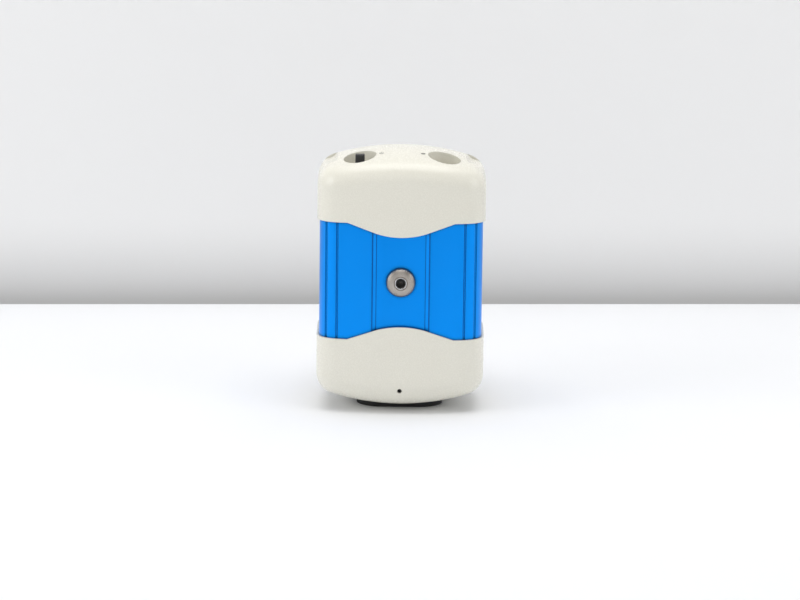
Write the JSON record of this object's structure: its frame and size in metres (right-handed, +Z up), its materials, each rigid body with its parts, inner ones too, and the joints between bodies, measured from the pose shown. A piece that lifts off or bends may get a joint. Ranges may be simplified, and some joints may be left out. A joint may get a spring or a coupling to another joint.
{
  "type": "guide camera",
  "caption": "Pocket-size guide camera: domed plastic ends on a blue extruded sleeve, eyepiece-size nose at the back, slide switch in a top well and a tripod thread in the foot.",
  "frame": {"origin": "mouth of the tripod thread, on the plane the foot stands on", "axes": "+X to the right of the front face, +Y out through the nose at the back, +Z up along the case"},
  "size_m": [0.06, 0.0726, 0.0938],
  "materials": {
    "ivory_plastic": "satin moulded",
    "blue_anodised": "blue anodised, fine satin",
    "black_rubber": "matt",
    "dark_steel": "black oxide",
    "stainless": "brushed",
    "bare_aluminium": "milled",
    "brass": "turned",
    "black_anodised": "black anodised",
    "clear_glass": "polished",
    "black_plastic": "moulded",
    "circuit_board": "solder mask",
    "ceramic_grey": "matt",
    "silicon": "polished",
    "chip_black": "moulded",
    "pad_grey": "soft",
    "amber_film": "film",
    "bright_steel": "plated"
  },
  "bodies": {
    "case": {"top_cap": "ivory_plastic", "bottom_cap": "ivory_plastic", "body_sleeve": "blue_anodised", "top_gasket": "black_rubber", "bottom_gasket": "black_rubber", "case_screws": "dark_steel", "front_screw": "stainless", "mounting_block": "bare_aluminium", "foot_pad": "black_rubber", "tripod_bush": "brass", "nose_flange": "black_anodised", "flange_screws": "stainless", "nose_tube": "black_anodised", "window_seal": "black_rubber", "sensor_window": "clear_glass", "window_ring": "black_anodised", "sensor_board": "circuit_board", "sensor_package": "ceramic_grey", "sensor_die": "silicon", "sensor_cover_glass": "clear_glass", "sensor_spacers": "brass", "sensor_screws": "stainless", "main_board": "circuit_board", "main_spacers": "brass", "main_screws": "stainless", "board_chips": "chip_black", "thermal_pad": "pad_grey", "top_board": "circuit_board", "board_header": "chip_black", "flex_ribbon": "amber_film", "ribbon_sockets": "black_plastic", "switch_body": "black_plastic", "usb_socket": "bright_steel", "usb_tongue": "black_plastic", "guide_jack": "black_plastic", "jack_nut": "bright_steel", "reset_switch": "bright_steel"},
    "knob": {"switch_knob": "black_plastic"},
    "reset": {"reset_button": "black_plastic"},
    "plug": {"dust_plug": "black_plastic"}
  },
  "joints": [
    {"name": "switch_slide", "type": "slide", "parent": "case", "child": "knob", "axis": [1, 0, 0], "range_m": [0, 0.002]},
    {"name": "reset_press", "type": "slide", "parent": "case", "child": "reset", "axis": [0, 1, 0], "range_m": [0, 0.00035], "stiffness_N_per_m": 800, "springref_m": -0.0003},
    {"name": "plug_pull", "type": "slide", "parent": "case", "child": "plug", "axis": [0, 1, 0], "range_m": [0, 0.04]}
  ]
}
